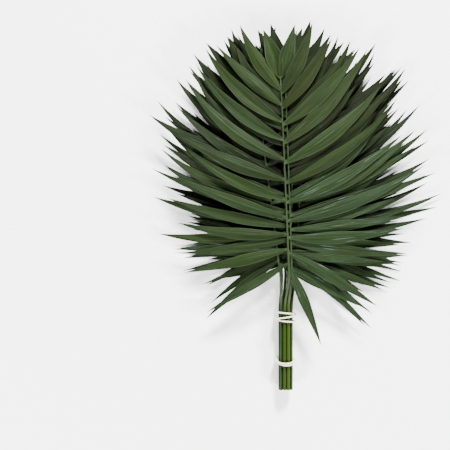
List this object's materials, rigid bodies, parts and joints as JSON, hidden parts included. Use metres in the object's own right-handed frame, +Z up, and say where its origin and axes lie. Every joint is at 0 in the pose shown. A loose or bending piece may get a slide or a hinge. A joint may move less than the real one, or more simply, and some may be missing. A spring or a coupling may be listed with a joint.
{
  "type": "palm frond bunch",
  "caption": "Tied bunch of cut palm fronds lying flat, with long pointed dark green leaflets and two cream elastic ties round the stalks.",
  "frame": {"origin": "on the surface that the bunch lies on, below the middle of its box", "axes": "+Y along the stalks, from the cut ends to the leaf tips; +Z up, away from the surface"},
  "size_m": [0.5242, 0.66, 0.0601],
  "materials": {
    "leaf": "satin",
    "elastic": "matte"
  },
  "bodies": {
    "root": {"frond_01": "leaf", "frond_02": "leaf", "frond_03": "leaf", "frond_04": "leaf", "frond_05": "leaf", "frond_06": "leaf", "frond_07": "leaf", "frond_08": "leaf", "frond_09": "leaf", "frond_10": "leaf", "frond_11": "leaf", "frond_12": "leaf", "frond_13": "leaf", "frond_14": "leaf", "frond_15": "leaf", "frond_16": "leaf", "tie_lower": "elastic", "tie_upper": "elastic"}
  },
  "joints": []
}
